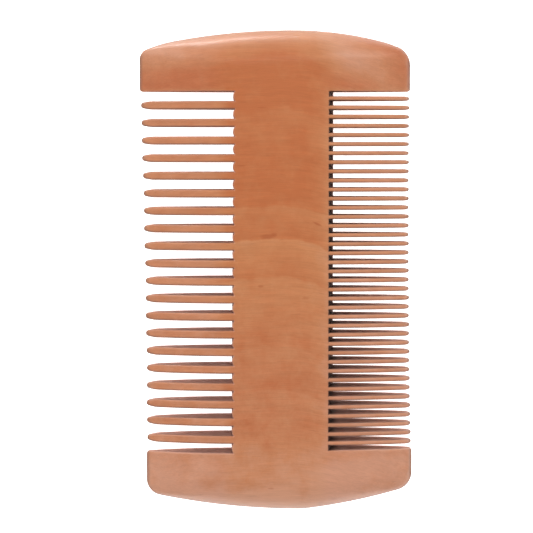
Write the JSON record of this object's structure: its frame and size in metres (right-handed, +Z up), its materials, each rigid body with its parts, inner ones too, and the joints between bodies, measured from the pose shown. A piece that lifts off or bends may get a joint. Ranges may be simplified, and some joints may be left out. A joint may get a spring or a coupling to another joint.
{
  "type": "beard comb",
  "caption": "Double-sided wooden beard comb: wide-set teeth along one edge, fine teeth along the other, a flat spine between them and a solid guard at each end.",
  "frame": {"origin": "bottom centre of the comb's box, as it lies flat", "axes": "+X across the comb from the coarse teeth to the fine teeth, +Y along it from the foot to the crown, +Z up through its thickness"},
  "size_m": [0.0568, 0.1, 0.01],
  "materials": {
    "wood": "sanded smooth and oiled, satin"
  },
  "bodies": {
    "root": {"spine": "wood", "top_guard": "wood", "bottom_guard": "wood", "coarse_tooth_01": "wood", "coarse_tooth_02": "wood", "coarse_tooth_03": "wood", "coarse_tooth_04": "wood", "coarse_tooth_05": "wood", "coarse_tooth_06": "wood", "coarse_tooth_07": "wood", "coarse_tooth_08": "wood", "coarse_tooth_09": "wood", "coarse_tooth_10": "wood", "coarse_tooth_11": "wood", "coarse_tooth_12": "wood", "coarse_tooth_13": "wood", "coarse_tooth_14": "wood", "coarse_tooth_15": "wood", "coarse_tooth_16": "wood", "coarse_tooth_17": "wood", "coarse_tooth_18": "wood", "coarse_tooth_19": "wood", "coarse_tooth_20": "wood", "fine_teeth": "wood"}
  },
  "joints": []
}
